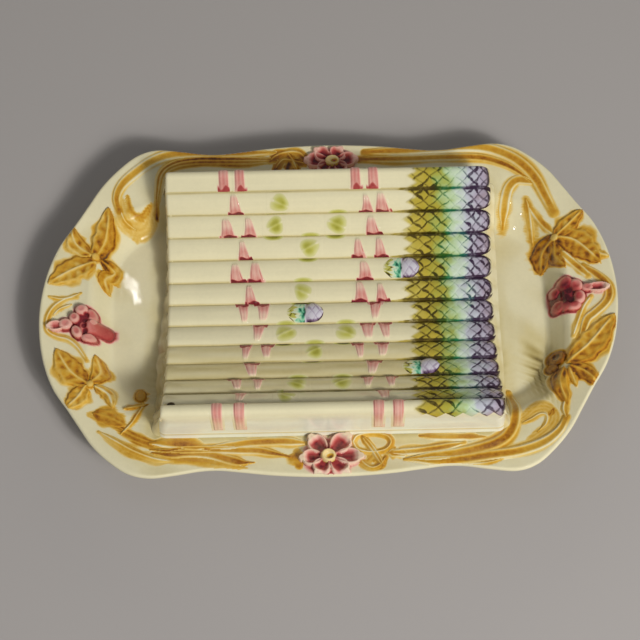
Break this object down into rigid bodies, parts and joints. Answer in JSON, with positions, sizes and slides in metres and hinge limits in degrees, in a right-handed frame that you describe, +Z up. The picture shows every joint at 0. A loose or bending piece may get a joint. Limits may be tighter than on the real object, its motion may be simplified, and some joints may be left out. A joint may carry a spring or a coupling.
{
  "type": "asparagus platter",
  "caption": "Scalloped oval earthenware platter with a raised concave cradle moulded as asparagus spears and a border of vines, leaves and flowers in relief.",
  "frame": {"origin": "on the table under the middle of the tray, at the foot ring's underside", "axes": "+X along the spears towards their tips, +Y to the back of the picture, +Z up"},
  "size_m": [0.3998, 0.251, 0.0575],
  "materials": {
    "cream_glaze": "glossy lead glaze over buff earthenware, crazed and slightly uneven",
    "bare_foot": "thin wiped glaze, worn matt on the standing ring",
    "spear_glaze": "glossy cream running into green, turquoise and violet at the tips",
    "tip_glaze": "glossy green running into turquoise and violet",
    "pink_glaze": "glossy pale pink, crimson where it pools",
    "green_glaze": "glossy olive wash",
    "yellow_glaze": "glossy straw yellow with an olive dimple",
    "amber_glaze": "glossy amber, dark brown where it pools, pale on the ridges"
  },
  "bodies": {
    "root": {"tray_body": "cream_glaze", "foot_ring": "bare_foot", "cradle": "cream_glaze", "spear_01": "spear_glaze", "spear_02": "spear_glaze", "spear_03": "spear_glaze", "spear_04": "spear_glaze", "spear_05": "spear_glaze", "spear_06": "spear_glaze", "spear_07": "spear_glaze", "spear_08": "spear_glaze", "spear_09": "spear_glaze", "spear_10": "spear_glaze", "spear_11": "spear_glaze", "spear_12": "spear_glaze", "spear_13": "spear_glaze", "loose_tip_back": "tip_glaze", "loose_tip_middle": "tip_glaze", "loose_tip_front": "tip_glaze", "bracts_left": "pink_glaze", "bracts_right": "pink_glaze", "bracts_green": "green_glaze", "front_petals": "pink_glaze", "front_eye": "yellow_glaze", "back_petals": "pink_glaze", "back_eye": "yellow_glaze", "left_bell": "pink_glaze", "left_calyx": "amber_glaze", "right_cluster": "pink_glaze", "right_stem": "pink_glaze", "leaves_back_left": "amber_glaze", "leaves_front_left": "amber_glaze", "leaves_back_right": "amber_glaze", "leaves_front_right": "amber_glaze", "vine_back_left": "amber_glaze", "vine_back_right": "amber_glaze", "vine_front_left": "amber_glaze", "vine_front_right": "amber_glaze", "knot_back": "amber_glaze", "knot_front": "amber_glaze", "tendril_left": "amber_glaze", "tendril_right": "amber_glaze"}
  },
  "joints": []
}
